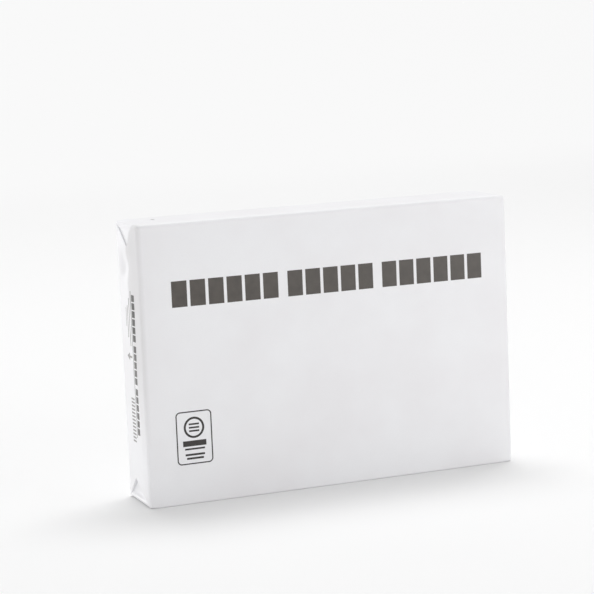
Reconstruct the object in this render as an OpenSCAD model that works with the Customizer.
// Ream of A4 paper: five hundred sheets sealed in a folded and glued paper wrapper.
// It stands on a long narrow side. The long edge runs along X, the thickness along Y
// with the printed face at -Y, and Z is up. The origin is in the middle of the side
// that it stands on. Every fold is glued down, so nothing on it moves.

/* [Sheets] */
// Long edge of the sheets
sheet_length = 297; // [230:1:330]
// Short edge of the sheets
sheet_width = 210; // [190:1:240]
// Thickness of all the sheets pressed together
stack_thickness = 50.8; // [44:0.2:60]

/* [Wrapper] */
// Wrapper and trapped air over each broad face
face_cover = 0.3; // [0.1:0.05:1]
// Wrapper and trapped air over each narrow long side
side_cover = 0.4; // [0.1:0.05:1]
// Folded layers and trapped air over each end
end_cover = 1.3; // [0.8:0.1:3]
// Rounding of the four long edges
long_edge_r = 3; // [1:0.1:4]
// Rounding of the upright edges where the broad faces turn onto the ends
upright_edge_r = 2.4; // [2:0.1:4]
// Rounding of the short edges where the narrow sides turn onto the ends
short_edge_r = 2.6; // [1:0.1:4]
// Length over which the broad faces fall away softly before each end
roll_length = 10; // [6:0.5:14]
// How far the broad faces have fallen away at the ends
roll_drop = 0.8; // [0.4:0.1:1.4]

/* [End folds] */
// How far the outer flap reaches back from the printed face
outer_flap_reach = 44; // [34:0.5:47]
// How far a tucked gusset runs in from the narrow side, at its point
gusset_depth = 18; // [12:0.5:24]
// How far the point of the lower gusset lies behind the middle of the end
lower_point_shift = 6; // [0:0.5:8]
// Step from the outer flap down to the inner flap
flap_step = 0.6; // [0.3:0.05:1]
// Step from the inner flap down to the folded edges of the gusset
gusset_step = 0.5; // [0.2:0.05:1]
// How much deeper the gusset dips under the flaps at its point
gusset_dip = 1.6; // [0.5:0.1:3]
// Width of the bent corners at the free edge of the outer flap
bent_corner = 9; // [4:0.5:14]
// How far the bent corners drop at their tips
bent_corner_drop = 0.5; // [0.2:0.05:0.6]

/* [Back seam] */
// Height of the free edge of the glued overlap along the back
seam_height = 92; // [60:1:120]
// Width over which the overlap lies double
seam_overlap = 26; // [15:1:40]
// Step at the free edge of the overlap
seam_step = 0.3; // [0.1:0.05:0.6]

/* [Printed title] */
// Height of the title blocks
title_height = 19.4; // [10:0.2:28]
// Distance of the title from the left end
title_left = 25.4; // [15:0.2:40]
// Distance of the title from the right end
title_right = 22; // [15:0.2:40]
// Distance of the top of the title below the upper narrow side
title_drop = 43.4; // [20:0.2:60]
// Space between two groups of blocks
title_space = 7.6; // [5:0.2:12]
// Space between two blocks of a group
title_gap = 2.4; // [1:0.2:4]

/* [Printed label] */
// Width of the label outline
label_width = 28; // [20:0.2:40]
// Height of the label outline
label_height = 40; // [40:0.2:55]
// Distance of the label from the left end
label_left = 23.6; // [15:0.2:40]
// Height of the lower edge of the label above the lower narrow side
label_bottom = 30; // [12:0.2:50]
// Corner radius of the label outline
label_corner_r = 3.4; // [2:0.1:6]
// Line width of the label outline
label_line = 0.9; // [0.5:0.05:1.5]
// Outer diameter of the ring
ring_d = 16; // [10:0.2:18]
// Line width of the ring
ring_line = 1.6; // [0.8:0.1:3]
// Distance of the middle of the ring below the top of the label
ring_drop = 12.4; // [11:0.2:15]

/* [Printed end] */
// Height of the small title blocks, across the end
end_title_height = 5.6; // [4:0.2:8]
// Length of the small title, along the end
end_title_length = 105; // [70:1:115]
// Distance of the small title from the printed face
end_title_inset = 14; // [8:0.2:15]
// Distance of the start of the small title below the upper narrow side
end_title_drop = 53; // [46:0.2:58]
// Space between the small title and its rule
rule_gap = 1.4; // [1:0.1:2]
// Line width of the rule
rule_line = 0.8; // [0.5:0.05:1]
// How far the rule runs past the small title at each end
rule_overrun = 2.6; // [0:0.2:6]

/* [Ink] */
// Depth of the colour fields in the wrapper
ink_depth = 0.15; // [0.1:0.05:0.25]
// Colour of the wrapper
paper_colour = "#f2f2f3";
// Colour of the ink
ink_colour = "#4d4845";

/* [Hidden] */
$fn = 64;
// Length added to a cut, so that it leaves no skin behind
past = 1;

// Outer sizes of the pack
pack_l = sheet_length + 2 * end_cover;
pack_h = sheet_width + 2 * side_cover;
wrap_t = stack_thickness + 2 * face_cover;
pack_t = wrap_t + seam_step;
front_y = -pack_t / 2;
back_y = front_y + wrap_t;

// Radius of the broad faces where they fall away, and the x where they start to
roll_r = (roll_length * roll_length + roll_drop * roll_drop) / (2 * roll_drop);
roll_x = pack_l / 2 - roll_length;
// Centre of an upright edge, which touches that curve and the end, and the way from the
// centre of the curve to it
edge_x = pack_l / 2 - upright_edge_r;
edge_rise = sqrt(pow(roll_r - upright_edge_r, 2) - pow(edge_x - roll_x, 2));
edge_y = wrap_t / 2 - roll_r + edge_rise;
touch_x = (edge_x - roll_x) / (roll_r - upright_edge_r);
touch_y = edge_rise / (roll_r - upright_edge_r);

// Folds on the ends, in depth from the printed face and height. The points of the gussets
// lie on them, and the outer flap's upper and lower edge rise along them.
upper_point = wrap_t / 2;
lower_point = wrap_t / 2 + lower_point_shift;
upper_slope = gusset_depth / upper_point;
lower_slope = gusset_depth / lower_point;
// Height of the block that cuts a gusset free
gusset_cut = end_cover + 4 * gusset_dip;

// Title: how many blocks each group has, and the width of a block that makes it fit its place
group_blocks = [6, 5, 6];
title_length = pack_l - title_left - title_right;
all_blocks = group_blocks[0] + group_blocks[1] + group_blocks[2];
block_w = (title_length - 2 * title_space - (all_blocks - 3) * title_gap) / all_blocks;

// Rows of the label, measured down from its top
label_rows = [
    // [distance down, height, width]
    [22.2, 4.2, 18.2],
    [27.8, 1.3, 15.6],
    [32.0, 1.5, 15.2],
    [34.8, 1.5, 13.2]
];

// Height of each bar inside the ring. The spaces between them are as high.
ring_bar = 1.3;

// Marks on the end. Depths run from the printed face, and starts from the start of the
// small title.
end_rows = [
    // [depth, height, start, length]
    [25.0, 1.4, 3.0, 36.0],
    [29.4, 1.4, 9.0, 24.0],
    [33.4, 0.9, 11.0, 14.0]
];
// Depth at which the arrow and the stripes begin
marks_depth = 24;
// Start of the arrow's middle line, its line width, the size of its head, and its tip's depth
arrow_at = 47.4;
arrow_line = 1.5;
arrow_head = 6;
arrow_tip = 36;
// Start of the first stripe, number of stripes, their pitch, width and length
stripes_at = 79.4;
stripe_count = 13;
stripe_pitch = 2.9;
stripe_width = 1.5;
stripe_length = 11;

// Rectangle with rounded corners, centred on the origin
module rounded_rectangle(width, height, r) {
    union() {
        square([width - 2 * r, height], center = true);
        square([width, height - 2 * r], center = true);
        for (x = [-1, 1], y = [-1, 1])
            translate([x * (width / 2 - r), y * (height / 2 - r)])
                circle(r);
    }
}

// Section across the long edge
module cross_section() {
    translate([front_y + wrap_t / 2, pack_h / 2])
        rounded_rectangle(wrap_t, pack_h, long_edge_r);
}

// Section of the overlap along the back: a step at its free edge that runs out upwards
module seam_section() {
    polygon([
        [back_y - past, seam_height],
        [back_y + seam_step, seam_height],
        [back_y, seam_height + seam_overlap],
        [back_y - past, seam_height + seam_overlap]
    ]);
}

// Plan: straight broad faces that fall away softly before the ends, and rounded upright edges
module plan_outline() {
    square([2 * roll_x, wrap_t], center = true);
    for (x = [-1, 1], y = [-1, 1]) {
        translate([x * edge_x, y * edge_y])
            circle(upright_edge_r);
        intersection() {
            translate([x * roll_x, y * (wrap_t / 2 - roll_r)])
                circle(roll_r);
            polygon([
                [x * (roll_x - past), 0],
                [x * pack_l / 2, 0],
                [x * pack_l / 2, y * edge_y],
                [x * edge_x, y * edge_y],
                [
                    x * (roll_x + touch_x * (roll_r + past)),
                    y * (wrap_t / 2 - roll_r + touch_y * (roll_r + past))
                ],
                [x * (roll_x - past), y * (wrap_t / 2 + past)]
            ]);
        }
    }
}

// Its children, a section, carried along X and shaped by the plan and the side view.
// The plan is moved back by shift.
module carried(shift) {
    intersection() {
        rotate([90, 0, 90])
            linear_extrude(pack_l, center = true)
                children();
        translate([0, front_y + wrap_t / 2 + shift, -past])
            linear_extrude(pack_h + 2 * past)
                plan_outline();
        translate([0, pack_t, pack_h / 2])
            rotate([90, 0, 0])
                linear_extrude(2 * pack_t)
                    rounded_rectangle(pack_l, pack_h, short_edge_r);
    }
}

// Wrapped block with the overlap along its back
module rounded_block() {
    carried(0)
        cross_section();
    carried(seam_step)
        seam_section();
}

// Places its children on the left end: their x is the depth from the printed face,
// their y is the height, and their z points out of the end
module on_left_end() {
    translate([-pack_l / 2, front_y, 0])
        rotate([90, 0, -90])
            mirror([1, 0, 0])
                children();
}

// Makes its children at both ends
module both_ends() {
    children();
    mirror([1, 0, 0])
        children();
}

// Moves its children from the lower to the upper narrow side, in the frame of an end
module at_top() {
    translate([0, pack_h, 0])
        mirror([0, 1, 0])
            children();
}

// Outline of the outer flap, with its two slanted folds
module outer_flap_outline() {
    polygon([
        [-past, -past * lower_slope],
        [outer_flap_reach, outer_flap_reach * lower_slope],
        [outer_flap_reach, pack_h - outer_flap_reach * upper_slope],
        [-past, pack_h + past * upper_slope]
    ]);
}

// Outline of a gusset tucked in at the lower narrow side, with its point at the given depth
module gusset_outline(point) {
    back_slope = gusset_depth / (wrap_t - point);
    polygon([
        [-past, -past * gusset_depth / point],
        [point, gusset_depth],
        [wrap_t + past, -past * back_slope]
    ]);
}

// What lets a gusset dip under both flaps towards its point
module gusset_relief(point) {
    intersection() {
        translate([0, 0, -gusset_cut])
            linear_extrude(gusset_cut + past)
                gusset_outline(point);
        translate([-2 * past, 0, -flap_step - gusset_step])
            rotate([-atan(gusset_dip / gusset_depth), 0, 0])
                translate([0, -2 * past, 0])
                    cube([pack_t + 4 * past, 2 * gusset_depth, gusset_cut]);
    }
}

// What bends a corner down at the free edge of the outer flap
module bent_corner_relief(slope) {
    translate([outer_flap_reach, outer_flap_reach * slope, 0])
        rotate([0, 0, 45])
            rotate([0, atan(bent_corner_drop / bent_corner), 0])
                translate([-bent_corner, -2 * bent_corner, 0])
                    cube([2 * bent_corner, 4 * bent_corner, 2 * bent_corner_drop]);
}

// What the folds take away from one end, outside the outer flap
module end_relief() {
    // Inner flap, one step below the outer one
    translate([0, 0, -flap_step])
        linear_extrude(flap_step + past)
            difference() {
                translate([-2 * past, -2 * past])
                    square([pack_t + 4 * past, pack_h + 4 * past]);
                outer_flap_outline();
            }
    gusset_relief(lower_point);
    bent_corner_relief(lower_slope);
    at_top() {
        gusset_relief(upper_point);
        bent_corner_relief(upper_slope);
    }
}

// Sealed pack: sheets and wrapper as one solid, with the print let in flush
module wrapped_ream() {
    color(paper_colour)
        difference() {
            rounded_block();
            both_ends()
                on_left_end()
                    end_relief();
            title_fields(past);
            label_fields(past);
            end_fields(past);
        }
}

// How many blocks stand before a group
function blocks_before(group) = group == 0 ? 0 : group_blocks[group - 1] + blocks_before(group - 1);

// Three groups of plain blocks in a row, starting at the origin. The widths are multiplied by stretch.
module title_outline(height, stretch) {
    for (group = [0 : len(group_blocks) - 1], i = [0 : group_blocks[group] - 1]) {
        nth = blocks_before(group) + i;
        start = nth * (block_w + title_gap) + group * (title_space - title_gap);
        translate([start * stretch, 0])
            square([block_w * stretch, height]);
    }
}

// Ring round three short bars, like sheets seen edge on
module ring_outline() {
    difference() {
        circle(d = ring_d);
        circle(d = ring_d - 2 * ring_line);
    }
    for (i = [-1, 0, 1])
        translate([-ring_d / 4, i * 2 * ring_bar - ring_bar / 2])
            square([ring_d / 2, ring_bar]);
}

module label_outline() {
    difference() {
        rounded_rectangle(label_width, label_height, label_corner_r);
        rounded_rectangle(
            label_width - 2 * label_line,
            label_height - 2 * label_line,
            label_corner_r - label_line
        );
    }
    translate([0, label_height / 2 - ring_drop])
        ring_outline();
    for (row = label_rows)
        translate([-row[2] / 2, label_height / 2 - row[0] - row[1]])
            square([row[2], row[1]]);
}

// Small print on the end, with x along the end and y towards the printed face
module end_outline() {
    translate([0, -end_title_height])
        title_outline(end_title_height, end_title_length / title_length);
    translate([-rule_overrun, -end_title_height - rule_gap - rule_line])
        square([end_title_length + 2 * rule_overrun, rule_line]);
    for (row = end_rows)
        translate([row[2], end_title_inset - row[0] - row[1]])
            square([row[3], row[1]]);
    polygon([
        [arrow_at - arrow_line / 2, end_title_inset - marks_depth],
        [arrow_at + arrow_line / 2, end_title_inset - marks_depth],
        [arrow_at + arrow_line / 2, end_title_inset - arrow_tip + arrow_head],
        [arrow_at + arrow_head / 2, end_title_inset - arrow_tip + arrow_head],
        [arrow_at, end_title_inset - arrow_tip],
        [arrow_at - arrow_head / 2, end_title_inset - arrow_tip + arrow_head],
        [arrow_at - arrow_line / 2, end_title_inset - arrow_tip + arrow_head]
    ]);
    for (i = [0 : stripe_count - 1])
        translate([stripes_at + i * stripe_pitch, end_title_inset - marks_depth - stripe_length])
            square([stripe_width, stripe_length]);
}

// Colour fields as solids. They reach ink_depth into the wrapper and proud of it by extra.
module title_fields(extra) {
    translate([-pack_l / 2 + title_left, front_y + ink_depth, pack_h - title_drop - title_height])
        rotate([90, 0, 0])
            linear_extrude(ink_depth + extra)
                title_outline(title_height, 1);
}

module label_fields(extra) {
    translate([
        -pack_l / 2 + label_left + label_width / 2,
        front_y + ink_depth,
        label_bottom + label_height / 2
    ])
        rotate([90, 0, 0])
            linear_extrude(ink_depth + extra)
                label_outline();
}

module end_fields(extra) {
    on_left_end()
        translate([end_title_inset, pack_h - end_title_drop, -ink_depth])
            mirror([1, 0, 0])
                rotate([0, 0, -90])
                    linear_extrude(ink_depth + extra)
                        end_outline();
}

module title_print() {
    color(ink_colour)
        title_fields(0);
}

module label_print() {
    color(ink_colour)
        label_fields(0);
}

module end_print() {
    color(ink_colour)
        end_fields(0);
}

wrapped_ream();
title_print();
label_print();
end_print();
